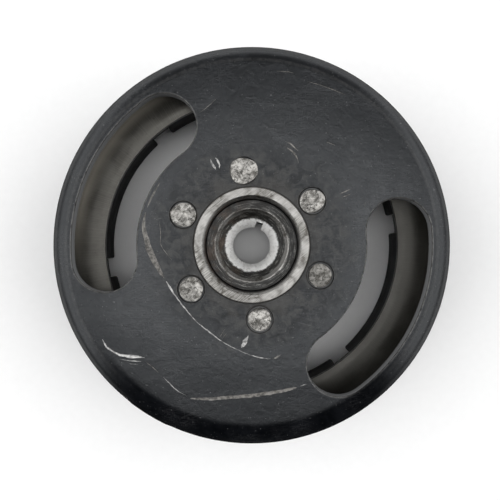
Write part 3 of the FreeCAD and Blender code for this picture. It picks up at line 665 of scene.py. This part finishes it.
def turned_steel():
    """Turned steel: bright on the ring and taper, greasy in the recess, with rust, a worn step, and painted
    shade on the ring's outer edge, in the recess's inner corner and in the keyway.
    """
    finish, tree, shader, place = start_finish("turned_steel")
    radius, turn, height = turned_coordinates(tree, place)
    long_turn = scaled(tree, turn, 3.0)
    arcs = []
    for size in (0.14, 0.4):
        across = scaled(tree, radius, 1 / (size * MM))
        around = put(tree, "ShaderNodeCombineXYZ", {"X": across, "Y": long_turn}).outputs[0]
        sockets = {"Vector": around, "Scale": 1, "Detail": 4}
        arcs.append(put(tree, "ShaderNodeTexNoise", sockets).outputs["Fac"])
    fine_turning, broad_turning = arcs
    brushed = clouds(tree, stretched(tree, place, 38, 22), 0.25, 3, 0.6)
    mottle = clouds(tree, place, 2.6, 7, 0.65, 0.4)
    smears = clouds(tree, place, 6.5, 3, 0.5)
    bright = tint(tree, span(tree, brushed, 0.36, 0.64), (0.09, 0.087, 0.08), (0.23, 0.225, 0.215))
    bright = tint(tree, span(tree, mottle, 0.50, 0.66, 0, 0.85), bright, (0.05, 0.044, 0.036))
    bright = tint(tree, span(tree, smears, 0.48, 0.62, 0, 0.6), bright, (0.28, 0.275, 0.265))
    # Painted shade: the outer edge of the ring, where it stands up from the cup's face, is darkened.
    ring_edge_shade = span(tree, radius, (RING_RADIUS - 0.35) * MM, (RING_RADIUS - 0.1) * MM, 0, 0.8)
    bright = tint(tree, ring_edge_shade, bright, (0.03, 0.027, 0.023))
    grease = tint(tree, span(tree, mottle, 0.36, 0.66), (0.004, 0.004, 0.0035), (0.017, 0.016, 0.014))
    speckle = clouds(tree, place, 0.5, 3, 0.7)
    lines = both(
        tree, span(tree, fine_turning, 0.47, 0.60), span(tree, broad_turning, 0.44, 0.58),
        span(tree, speckle, 0.38, 0.56, 0.2, 1),
    )
    floor_share = span(tree, radius, (RECESS_RADIUS - 0.5) * MM, (RECESS_RADIUS - 1.1) * MM, 0.25, 0.5)
    grease = tint(tree, both(tree, lines, floor_share), grease, (0.33, 0.325, 0.305))
    grease = tint(tree, span(tree, fine_turning, 0.46, 0.36, 0, 0.8), grease, (0.004, 0.004, 0.003))
    rust_side = span(tree, curved(tree, "COSINE", turn), 0.1, -0.8)
    rust = both(tree, span(tree, clouds(tree, place, 3.4, 6, 0.7), 0.42, 0.62), rust_side)
    grease = tint(tree, both(tree, rust, 0.6), grease, (0.060, 0.036, 0.022))
    # Painted shade: the recess's inner corner, where its floor meets its wall, is painted black.
    foot = both(tree, span(tree, radius, 12.5 * MM, 12.8 * MM), span(tree, height, 37.0 * MM, 36.7 * MM))
    grease = tint(tree, foot, grease, (0.002, 0.002, 0.002))
    uneven = scaled(tree, mottle, 1.2 * MM, radius)
    worn = both(
        tree, span(tree, uneven, 9.8 * MM, 10.2 * MM), span(tree, uneven, 11.3 * MM, 10.8 * MM),
        span(tree, smears, 0.28, 0.50),
    )
    on_ring = span(tree, height, 41.75 * MM, 42.1 * MM)
    shiny = sums(tree, "MAXIMUM", on_ring, worn)
    colour = tint(tree, shiny, grease, bright)
    tall = put(tree, "ShaderNodeMapping", {"Vector": place, "Scale": (1, 1, 0.08)}).outputs["Vector"]
    drips = clouds(tree, tall, 0.8, 4, 0.65)
    ragged_height = scaled(tree, drips, 8 * MM, height)
    in_taper = span(tree, ragged_height, 38.6 * MM, 35.2 * MM)
    off_taper = scaled(tree, height, -TAPER_LEAN, radius)
    in_taper = both(tree, in_taper, span(tree, off_taper, 4.42 * MM, 4.36 * MM))
    streaks = round_marks(tree, turn, 1.6, 5, 0.7)
    polish = tint(tree, span(tree, streaks, 0.36, 0.60), (0.90, 0.895, 0.88), (0.98, 0.98, 0.97))
    polish = tint(tree, span(tree, drips, 0.46, 0.70, 0, 0.5), polish, (0.40, 0.39, 0.37))
    colour = tint(tree, in_taper, colour, polish)
    # Painted shade: the keyway's walls, deep in the bore, are painted black.
    keyway_shade = both(
        tree, span(tree, off_taper, 4.44 * MM, 4.50 * MM), span(tree, height, 34.4 * MM, 33.9 * MM),
        span(tree, height, 13.6 * MM, 13.8 * MM), span(tree, radius, 7.5 * MM, 7.3 * MM),
    )
    colour = tint(tree, keyway_shade, colour, (0.002, 0.002, 0.002))
    tree.links.new(colour, shader.inputs["Base Color"])
    metal = sums(tree, "SUBTRACT", span(tree, shiny, 0, 1, 0.35, 1.0), both(tree, in_taper, 0.9))
    tree.links.new(metal, shader.inputs["Metallic"])
    # The painted shade in the recess corner and the keyway also loses most of its shine.
    painted_shade_black = sums(tree, "MAXIMUM", keyway_shade, foot)
    tree.links.new(span(tree, painted_shade_black, 0, 1, 0.5, 0.05), shader.inputs["Specular IOR Level"])
    shader.inputs["Diffuse Roughness"].default_value = 1.0
    rough_bright = span(tree, mottle, 0.3, 0.7, 0.34, 0.50)
    rough_grease = span(tree, mottle, 0.3, 0.7, 0.34, 0.60)
    tree.links.new(blend(tree, shiny, rough_grease, rough_bright), shader.inputs["Roughness"])
    lathe_marks = relief(tree, shader, fine_turning, 0.02)
    relief(tree, shader, sums(tree, "ADD", brushed, mottle), 0.03, 0.7, under=lathe_marks)
    return finish


hub_outline = [
    (RING_RADIUS, RING_TOP),
    (RING_RADIUS, PLATE_UNDERSIDE),
    (FLANGE_RADIUS, PLATE_UNDERSIDE),
    (FLANGE_RADIUS, FLANGE_UNDERSIDE),
    (BOSS_RADIUS, FLANGE_UNDERSIDE),
    (BOSS_RADIUS, BOSS_END + BOSS_CHAMFER),
    (BOSS_RADIUS - BOSS_CHAMFER, BOSS_END),
    (THREAD_RELIEF + 0.3, BOSS_END),
    (THREAD_RELIEF, THREAD_START),
]
bore_outline = [
    (THREAD_RELIEF, THREAD_END),
    (THREAD_RELIEF, NUT_SEAT),
    (TAPER_NARROW, NUT_SEAT),
    (TAPER_WIDE, TAPER_TOP),
    (STEP_FOOT_RADIUS, STEP_FOOT),
    (STEP_TOP_RADIUS, RECESS_FLOOR),
    (RECESS_RADIUS, RECESS_FLOOR),
    (RECESS_RADIUS, RING_TOP - MOUTH_CHAMFER),
    (RECESS_RADIUS + MOUTH_CHAMFER, RING_TOP),
]
bm = bmesh.new()
turn_outline(bm, bore_outline + hub_outline, HUB_STEPS, closed=False)
break_edges(bm, 0.16, 2)
outside = bpy.data.meshes.new("hub_outside")
bm.to_mesh(outside)
bm.free()
bm = bmesh.new()
cut_thread(bm, THREAD_START, THREAD_END)
bm.from_mesh(outside)
for face in bm.faces:
    face.smooth = True
close_flat(bm, THREAD_START)
close_flat(bm, THREAD_END)
bmesh.ops.remove_doubles(bm, verts=bm.verts[:], dist=MERGE_REACH * MM)
bmesh.ops.recalc_face_normals(bm, faces=bm.faces[:])
crease(bm, 50)
hub = make_piece(bm, "hub_turning", turned_steel())

bm = bmesh.new()
reach = KEYWAY_REACH * MM
size = Matrix.Diagonal((reach, KEYWAY_WIDTH * MM, (TAPER_TOP - NUT_SEAT + 4) * MM, 1))
turned = Matrix.Rotation(KEYWAY_DIRECTION, 4, "Z")
lifted = Matrix.Translation((reach / 2, 0, (TAPER_TOP + NUT_SEAT) / 2 * MM))
bmesh.ops.create_cube(bm, size=1.0, matrix=turned @ lifted @ size)
keyway_cutter = make_piece(bm, "keyway_cutter")
cut = hub.modifiers.new("keyway", "BOOLEAN")
cut.object = keyway_cutter
cut.operation = "DIFFERENCE"
cut.solver = "EXACT"
cut_mesh = bpy.data.meshes.new_from_object(hub.evaluated_get(bpy.context.evaluated_depsgraph_get()))
hub.modifiers.clear()
hub.data = cut_mesh
bpy.data.objects.remove(keyway_cutter)
even_shading(hub)
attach(hub, "root")
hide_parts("hub")

# ---- Rivets ------------------------------------------------------------------------------------------------
# Six solid steel rivets that hold the cup to the hub's flange. The heads from the factory are underneath, and
# the ends on the face were hammered down cold, so each has its own outline, dents and dark pits.

RIVET_STEPS = 72
SHANK_RADIUS = 3.0
HEAD_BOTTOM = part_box("rivet_1")[0].z / MM
HEAD_RADIUS = 4.5
HEAD_EDGE = 1.4
UPSET_RINGS = 16
HAMMER_BLOWS = 7
DOME_HEIGHT = 0.42
UPSET_SHAPES = {
    "rivet_1": (3.30, 0.24, 20, 0.10, 10),
    "rivet_2": (3.74, 0.18, 10, 0.16, 130),
    "rivet_3": (3.42, 0.16, 170, 0.08, 60),
    "rivet_4": (3.34, 0.06, 70, 0.08, 300),
    "rivet_5": (3.10, 0.05, 20, 0.08, 40),
    "rivet_6": (3.22, 0.10, 95, 0.06, 250),
}


def hammered_steel(name, grime):
    """Bare steel ends: bright where the hammer struck, with dark pits and a share of grime."""
    finish, tree, shader, place = start_finish(name)
    dents = clouds(tree, place, 1.9, 5, 0.6, 0.4)
    pits = span(tree, clouds(tree, place, 0.75, 4, 0.62, 1.0), 0.48, 0.38)
    scuffs = clouds(tree, stretched(tree, place, 50, 10), 0.2, 3, 0.6)
    colour = tint(tree, span(tree, dents, 0.36, 0.62), (0.09, 0.086, 0.078), (0.37, 0.36, 0.34))
    colour = tint(tree, span(tree, scuffs, 0.52, 0.66, 0, 0.6), colour, (0.46, 0.45, 0.43))
    colour = tint(tree, both(tree, pits, 0.85), colour, (0.030, 0.028, 0.024))
    colour = tint(tree, grime, colour, (0.035, 0.032, 0.027))
    tree.links.new(colour, shader.inputs["Base Color"])
    tree.links.new(sums(tree, "SUBTRACT", 0.9, both(tree, pits, 0.5)), shader.inputs["Metallic"])
    tree.links.new(span(tree, dents, 0.3, 0.7, 0.56, 0.42), shader.inputs["Roughness"])
    relief(tree, shader, sums(tree, "SUBTRACT", dents, both(tree, pits, 0.4)), 0.05)
    return finish


rivet_finishes = [hammered_steel("hammered_steel", 0.0), hammered_steel("grimy_hammered_steel", 0.5)]
rivet_draws = random.Random(11)
for name in RIVET_NAMES:
    circle_radius, direction = middle_of(name)
    mean_radius, second, second_turn, third, third_turn = UPSET_SHAPES[name]
    planes = []
    for _ in range(HAMMER_BLOWS):
        lean = rivet_draws.uniform(0, math.tau)
        steep = rivet_draws.uniform(0.05, 0.22)
        planes.append((math.cos(lean) * steep, math.sin(lean) * steep, rivet_draws.uniform(0.25, 0.62)))
    bm = bmesh.new()
    top = [bm.verts.new((ring / UPSET_RINGS * mean_radius * MM, 0, 0)) for ring in range(UPSET_RINGS + 1)]
    side = [
        (mean_radius + 0.03, -0.12), (mean_radius - 0.04, -0.30), (3.34, -0.55), (3.28, -0.70),
        (SHANK_RADIUS, -1.15), (SHANK_RADIUS, FLANGE_UNDERSIDE - FACE_HEIGHT),
        (HEAD_RADIUS, FLANGE_UNDERSIDE - FACE_HEIGHT),
    ]
    side += [
        (
            HEAD_RADIUS - HEAD_EDGE * (1 - math.cos(turn)),
            HEAD_BOTTOM + HEAD_EDGE * (1 - math.sin(turn)) - FACE_HEIGHT,
        )
        for turn in (step * math.pi / 12 for step in range(7))
    ]
    side += [(0.0, HEAD_BOTTOM - FACE_HEIGHT)]
    chain = top + [bm.verts.new((radius * MM, 0, level * MM)) for radius, level in side]
    edges = [bm.edges.new(pair) for pair in zip(chain, chain[1:])]
    sweep(bm, chain + edges, math.tau, RIVET_STEPS, use_merge=True)
    bmesh.ops.remove_doubles(bm, verts=bm.verts[:], dist=0.001 * MM)
    for vert in bm.verts:
        level = vert.co.z / MM
        if level < -1.0:
            continue
        turn = math.atan2(vert.co.y, vert.co.x)
        share = math.hypot(vert.co.x, vert.co.y) / MM / mean_radius
        lobes = second * math.cos(2 * (turn - math.radians(second_turn)))
        lobes += third * math.cos(3 * (turn - math.radians(third_turn)))
        around = Vector((math.cos(turn) * 2, math.sin(turn) * 2, circle_radius * direction))
        lobes += 0.09 * noise.noise(around)
        fade = 1.0 if level > -0.2 else max(0.0, (0.55 + level) / 0.35)
        stretch = 1 + lobes / mean_radius * fade * share
        vert.co.x *= stretch
        vert.co.y *= stretch
        if level > -0.1:
            x, y = vert.co.x / MM, vert.co.y / MM
            dome = DOME_HEIGHT * (1 - share ** 3.2)
            facets = min(high + lean_x * x + lean_y * y for lean_x, lean_y, high in planes)
            rough = 0.09 * noise.noise(Vector((x * 1.1, y * 1.1, direction * 9)))
            rough += 0.05 * noise.noise(Vector((x * 2.9, y * 2.9, direction * 5)))
            vert.co.z += (min(dome, facets) + rough * (1 - share ** 6)) * MM
    bmesh.ops.translate(bm, verts=bm.verts[:], vec=polar(circle_radius, direction, FACE_HEIGHT))
    bmesh.ops.recalc_face_normals(bm, faces=bm.faces[:])
    for face in bm.faces:
        face.smooth = True
    crease(bm, 50)
    rivet = make_piece(bm, name + "_hammered", rivet_finishes[name == "rivet_6"])
    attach(rivet, "root")
    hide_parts(name)

# ---- Magnet spacer ring ------------------------------------------------------------------------------------
# A turned ring of bare steel that fills the cup's inner corner and sets the magnets' height. Its upper inner
# side is a deep cove, browned by heat and oil, that shows through the slots. A highlight is painted on the
# cove's upper part near 138 degrees round the axis, and painted shade darkens the ring further round.

SPACER_LOW, SPACER_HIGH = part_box("magnet_spacer_ring")
SPACER_OUTER = SPACER_HIGH.x / MM
SPACER_TOP, SPACER_UNDERSIDE = SPACER_HIGH.z / MM, SPACER_LOW.z / MM
SPACER_INNER = 42.66
LIP_WIDTH = 0.6
COVE_RADIUS = 6.99
COVE_STEPS = 14
SPACER_STEPS = 216
# The direction round the axis of the spacer's painted highlight.
PAINTED_HIGHLIGHT_TURN = math.radians(138)


def browned_steel_and_painted_light():
    """Bare steel with a grey-brown film of heat and oil, and the tool's chatter across the cove, with a
    painted highlight on one side of the cove and painted shade away from it.
    """
    finish, tree, shader, place = start_finish("browned_steel_and_painted_light")
    _, turn, height = turned_coordinates(tree, place)
    chatter = round_marks(tree, turn, 170, 2, 0.6)
    smears = clouds(tree, place, 9, 4, 0.55, 0.3)
    mottle = clouds(tree, place, 1.3, 6, 0.66)
    colour = tint(tree, span(tree, smears, 0.35, 0.68), (0.036, 0.034, 0.029), (0.074, 0.071, 0.063))
    colour = tint(tree, span(tree, chatter, 0.48, 0.70, 0, 0.28), colour, (0.125, 0.12, 0.108))
    colour = tint(tree, span(tree, mottle, 0.44, 0.30, 0, 0.55), colour, (0.022, 0.019, 0.016))
    # Painted shade and a painted highlight: the ring darkens further round from 138 degrees, and near there
    # the cove's upper part is painted bright.
    towards_painted_highlight = curved(tree, "COSINE", scaled(tree, turn, 1.0, -PAINTED_HIGHLIGHT_TURN))
    colour = tint(tree, span(tree, towards_painted_highlight, 0.98, -0.6, 0, 0.74), colour, (0.020, 0.019, 0.016))
    painted_highlight = span(tree, towards_painted_highlight, 0.60, 0.95, 0, 0.65)
    painted_highlight = both(tree, painted_highlight, span(tree, height, 29 * MM, 33 * MM))
    colour = tint(tree, painted_highlight, colour, (0.44, 0.41, 0.35))
    tree.links.new(colour, shader.inputs["Base Color"])
    shader.inputs["Metallic"].default_value = 0.6
    tree.links.new(span(tree, smears, 0.3, 0.7, 0.34, 0.48), shader.inputs["Roughness"])
    relief(tree, shader, sums(tree, "ADD", chatter, mottle), 0.03)
    return finish


cove_middle = SPACER_INNER + LIP_WIDTH
cove = [
    (cove_middle + COVE_RADIUS * math.sin(turn), SPACER_TOP - COVE_RADIUS * math.cos(turn))
    for turn in (step / COVE_STEPS * math.pi / 2 for step in range(COVE_STEPS + 1))
]
spacer_outline = [(SPACER_INNER, SPACER_TOP - COVE_RADIUS)] + cove
spacer_outline += [
    (SPACER_OUTER, SPACER_TOP), (SPACER_OUTER, SPACER_UNDERSIDE), (SPACER_INNER, SPACER_UNDERSIDE),
]
bm = bmesh.new()
turn_outline(bm, spacer_outline, SPACER_STEPS)
break_edges(bm, 0.14, 2)
spacer = make_piece(bm, "spacer_turning", browned_steel_and_painted_light())
even_shading(spacer)
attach(spacer, "root")
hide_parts("magnet_spacer_ring")

# ---- Magnet cage -------------------------------------------------------------------------------------------
# One moulding of black resin: a flat ring above the magnets with a rib between each pair, which spaces them
# evenly while their adhesive sets.

CAGE_LOW, CAGE_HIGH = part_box("magnet_cage")
CAGE_TOP, CAGE_BOTTOM = CAGE_HIGH.z / MM, CAGE_LOW.z / MM
MAGNET_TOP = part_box("magnet_1")[1].z / MM
MAGNET_INNER, MAGNET_OUTER = 44.3, SPACER_OUTER
RIB_INNER = 46.4
RIB_HALF_ANGLE = math.radians(3.65)
FIRST_RIB = math.radians(68.8)
MAGNET_PITCH = math.tau / 6
RIB_STEPS, GAP_STEPS = 4, 26


def black_resin():
    """Moulded black resin with a dusty bloom."""
    finish, tree, shader, place = start_finish("black_resin")
    dust = clouds(tree, place, 3, 6, 0.7)
    colour = tint(tree, span(tree, dust, 0.5, 0.75, 0, 0.7), (0.012, 0.012, 0.012), (0.05, 0.047, 0.043))
    tree.links.new(colour, shader.inputs["Base Color"])
    tree.links.new(span(tree, dust, 0.3, 0.7, 0.45, 0.7), shader.inputs["Roughness"])
    relief(tree, shader, clouds(tree, place, 0.5, 3), 0.03)
    return finish


cage_ring = [
    (MAGNET_INNER, CAGE_TOP), (MAGNET_OUTER, CAGE_TOP), (MAGNET_OUTER, MAGNET_TOP), (RIB_INNER, MAGNET_TOP),
    (MAGNET_INNER, MAGNET_TOP),
]
bm = bmesh.new()
corners = [bm.verts.new(polar(radius, FIRST_RIB - RIB_HALF_ANGLE, height)) for radius, height in cage_ring]
section = corners + [bm.edges.new(pair) for pair in zip(corners, corners[1:] + corners[:1])]
for _ in range(6):
    for angle, steps in ((2 * RIB_HALF_ANGLE, RIB_STEPS), (MAGNET_PITCH - 2 * RIB_HALF_ANGLE, GAP_STEPS)):
        spun = sweep(bm, section, angle, steps)
        section = [item for item in spun["geom_last"] if not isinstance(item, bmesh.types.BMFace)]
bmesh.ops.remove_doubles(bm, verts=bm.verts[:], dist=0.001 * MM)
rib_roots = []
for face in bm.faces:
    middle = face.calc_center_median()
    swing = (math.atan2(middle.y, middle.x) - FIRST_RIB + MAGNET_PITCH / 2) % MAGNET_PITCH - MAGNET_PITCH / 2
    on_underside = abs(middle.z - MAGNET_TOP * MM) < SAME_PLACE
    if on_underside and math.hypot(middle.x, middle.y) > RIB_INNER * MM and abs(swing) < RIB_HALF_ANGLE:
        rib_roots.append(face)
ribs = bmesh.ops.extrude_face_region(bm, geom=rib_roots)["geom"]
bmesh.ops.delete(bm, geom=rib_roots, context="FACES")
for item in ribs:
    if isinstance(item, bmesh.types.BMVert):
        item.co.z = CAGE_BOTTOM * MM
bmesh.ops.recalc_face_normals(bm, faces=bm.faces[:])
break_edges(bm, 0.2, 2)
cage = make_piece(bm, "cage_moulding", black_resin())
even_shading(cage)
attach(cage, "root")
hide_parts("magnet_cage")

# ---- Magnets -----------------------------------------------------------------------------------------------
# Six arc magnets of black ferrite ceramic, ground on their faces and bonded to the cup's wall between the
# cage's ribs. Their edges are broken, and chipped here and there, as ceramic is.

MAGNET_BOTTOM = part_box("magnet_1")[0].z / MM
MAGNET_HALF_ANGLE = math.radians(26.25)
FIRST_MAGNET = math.radians(38.8)
MAGNET_EDGE = 0.6
MAGNET_STEPS = 36
CHIP_DEPTH, CHIP_SHARE = 0.25, 0.12


def ground_ferrite():
    """Ground ferrite ceramic: near black, faintly speckled, with grinding lines."""
    finish, tree, shader, place = start_finish("ground_ferrite")
    speckle = clouds(tree, place, 0.5, 3, 0.7)
    smears = clouds(tree, place, 6, 5, 0.6)
    colour = tint(tree, span(tree, smears, 0.4, 0.7), (0.004, 0.004, 0.0045), (0.010, 0.0095, 0.009))
    colour = tint(tree, span(tree, speckle, 0.58, 0.78, 0, 0.5), colour, (0.035, 0.034, 0.032))
    tree.links.new(colour, shader.inputs["Base Color"])
    tree.links.new(span(tree, smears, 0.3, 0.7, 0.5, 0.68), shader.inputs["Roughness"])
    shader.inputs["Specular IOR Level"].default_value = 0.05
    relief(tree, shader, speckle, 0.03)
    return finish


ferrite = ground_ferrite()
chip_draws = random.Random(5)
for index in range(6):
    middle_angle = FIRST_MAGNET + index * MAGNET_PITCH
    bm = bmesh.new()
    section = [
        bm.verts.new(polar(radius, middle_angle - MAGNET_HALF_ANGLE, height))
        for radius, height in (
            (MAGNET_INNER, MAGNET_BOTTOM), (MAGNET_OUTER, MAGNET_BOTTOM), (MAGNET_OUTER, MAGNET_TOP),
            (MAGNET_INNER, MAGNET_TOP),
        )
    ]
    end_face = bm.faces.new(section)
    whole_end = section + list(end_face.edges) + [end_face]
    sweep(bm, whole_end, 2 * MAGNET_HALF_ANGLE, MAGNET_STEPS)
    bmesh.ops.recalc_face_normals(bm, faces=bm.faces[:])
    break_edges(bm, MAGNET_EDGE, 3)
    for vert in bm.verts:
        on_long_edge = not MAGNET_BOTTOM + MAGNET_EDGE < vert.co.z / MM < MAGNET_TOP - MAGNET_EDGE
        on_inner_edge = on_long_edge and vert.co.xy.length < (MAGNET_INNER + MAGNET_EDGE) * MM
        if on_inner_edge and chip_draws.random() < CHIP_SHARE:
            vert.co += vert.co * Vector((1, 1, 0)) * (chip_draws.uniform(0.1, CHIP_DEPTH) / MAGNET_INNER)
    magnet = make_piece(bm, f"magnet_block_{index + 1}", ferrite)
    even_shading(magnet)
    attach(magnet, "root")
    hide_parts(f"magnet_{index + 1}")

# ---- Bench, light and camera -------------------------------------------------------------------------------
# A plain white sheet under the flywheel. Soft light falls on it from overhead, from white walls to the left
# and right, and weakly from the back, and the front side is dark. The camera looks straight down.

BENCH_SIZE = 4.0
ROOM_GLOW, SIDE_GLOW, BACK_GLOW, LAMP_GLOW = 0.32, 1.8, 1.2, 6.5
CAMERA_PLACE = (-0.47, -1.35, 272.5)
CAMERA_LENS = 60.3


def white_sheet():
    """Matt white paper."""
    finish, tree, shader, place = start_finish("white_sheet")
    fibres = clouds(tree, place, 2.5, 5)
    tree.links.new(tint(tree, fibres, (0.86, 0.86, 0.86), (0.90, 0.90, 0.90)), shader.inputs["Base Color"])
    shader.inputs["Roughness"].default_value = 0.9
    shader.inputs["Specular IOR Level"].default_value = 0.2
    return finish


bm = bmesh.new()
bmesh.ops.create_grid(bm, x_segments=8, y_segments=8, size=BENCH_SIZE / 2)
bench = make_piece(bm, "bench_sheet", white_sheet())

world = bpy.data.worlds.new("soft_room")
world.use_nodes = True
room = world.node_tree
outward = put(room, "ShaderNodeTexCoord", {}).outputs["Generated"]
axes = put(room, "ShaderNodeSeparateXYZ", {"Vector": outward}).outputs
sideways = curved(room, "ABSOLUTE", axes["X"])
lengthways = curved(room, "ABSOLUTE", axes["Y"])
wall = scaled(room, lengthways, -0.75, sideways)
wall = both(room, span(room, wall, 0.02, 0.26), span(room, axes["Z"], 0.10, 0.50, 0.1, 1.0))
back = both(room, span(room, axes["Y"], 0.40, 0.75), span(room, axes["Z"], 0.62, 0.20))
narrowed = both(room, sideways, 0.6)
flat = put(room, "ShaderNodeCombineXYZ", {"X": narrowed, "Y": axes["Y"]}).outputs[0]
spread = put(room, "ShaderNodeVectorMath", {0: flat}, operation="LENGTH").outputs["Value"]
zenith = both(room, span(room, spread, 0.25, 0.02), span(room, axes["Z"], 0.5, 0.6))
front = span(room, scaled(room, sideways, 0.8, axes["Y"]), -0.25, -0.16)
glow = scaled(room, wall, SIDE_GLOW, ROOM_GLOW)
glow = scaled(room, back, BACK_GLOW, glow)
glow = scaled(room, zenith, LAMP_GLOW, glow)
glow = scaled(room, glow, front)
seen = put(room, "ShaderNodeLightPath", {}).outputs["Is Camera Ray"]
glow = blend(room, seen, glow, 1.0)
room.links.new(glow, room.nodes["Background"].inputs["Strength"])
room.nodes["Background"].inputs["Color"].default_value = (1, 1, 1, 1)
bpy.context.scene.world = world

camera_data = bpy.data.cameras.new("camera")
camera_data.lens = CAMERA_LENS
camera_data.sensor_width = 36.0
camera_data.clip_start = 0.01
camera = bpy.data.objects.new("camera", camera_data)
camera.location = [distance * MM for distance in CAMERA_PLACE]
bpy.context.scene.collection.objects.link(camera)
bpy.context.scene.camera = camera
bpy.context.scene.view_settings.view_transform = "Standard"
